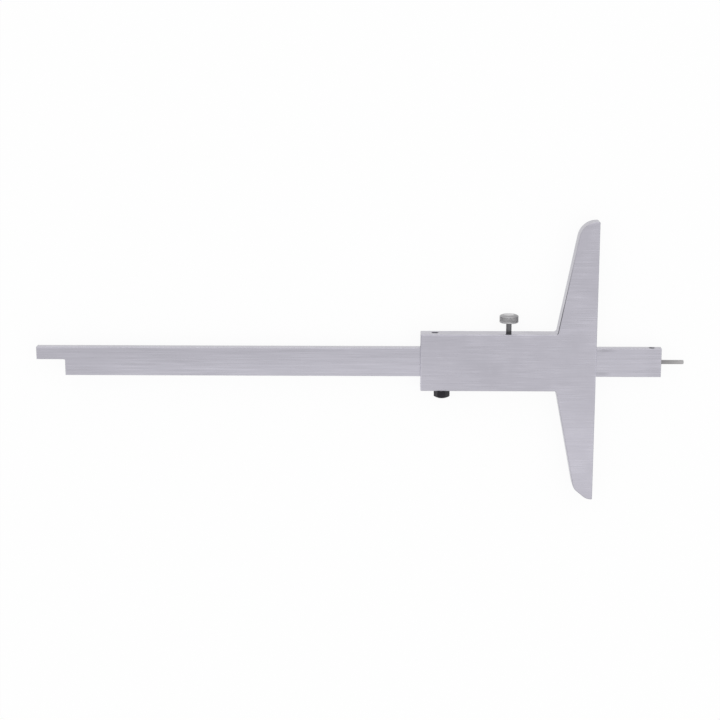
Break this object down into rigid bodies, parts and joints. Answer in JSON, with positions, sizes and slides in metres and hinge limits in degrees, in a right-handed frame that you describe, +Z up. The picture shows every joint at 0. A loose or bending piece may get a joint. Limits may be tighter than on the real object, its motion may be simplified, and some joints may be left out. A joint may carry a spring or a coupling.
{
  "type": "depth caliper",
  "caption": "Depth caliper with a measuring bridge, a sliding stepped beam, a measuring pin for narrow bores, a vernier and a knurled lock screw.",
  "frame": {"origin": "on the measuring face of the bridge, in the middle of the beam's width, at the level of the graduated front face that the caliper rests on", "axes": "+X along the beam towards the measuring pin, +Y towards the lock screw, +Z up out of the plain rear face"},
  "size_m": [0.229, 0.1, 0.0072],
  "materials": {
    "ground_steel": "ground stainless steel with a fine grain along the beam",
    "beam_steel": "ground stainless steel bar",
    "plate_steel": "satin stainless steel",
    "pin_steel": "drawn hardened steel",
    "screw_steel": "turned steel",
    "knurled_steel": "turned and knurled steel with a dark stem",
    "gib_bronze": "rolled bronze strip",
    "pad_brass": "turned brass",
    "black_oxide": "black oxide steel"
  },
  "bodies": {
    "slider": {"slider_bridge": "ground_steel", "vernier_plate": "plate_steel", "vernier_screw_far": "screw_steel", "vernier_screw_near": "screw_steel", "gib_strip": "gib_bronze", "gib_screw": "screw_steel", "thumb_stud": "black_oxide"},
    "beam": {"beam": "beam_steel", "measuring_pin": "pin_steel", "pin_set_screw": "screw_steel"},
    "pad": {"pressure_pad": "pad_brass"},
    "lock_screw": {"lock_screw": "knurled_steel"}
  },
  "joints": [
    {"name": "beam_slide", "type": "slide", "parent": "slider", "child": "beam", "axis": [1, 0, 0], "range_m": [-0.031, 0.119]},
    {"name": "lock_lift", "type": "slide", "parent": "slider", "child": "pad", "axis": [0, 1, 0], "range_m": [0, 0.0004]},
    {"name": "lock_turn", "type": "hinge", "parent": "pad", "child": "lock_screw", "pos_m": [-0.03074, 0.0076, 0.0039], "axis": [0, 1, 0], "range_deg": [0, 360]}
  ],
  "couplings": [
    {"joint": "lock_turn", "follows": "lock_lift", "rad_per_m": 15708}
  ]
}
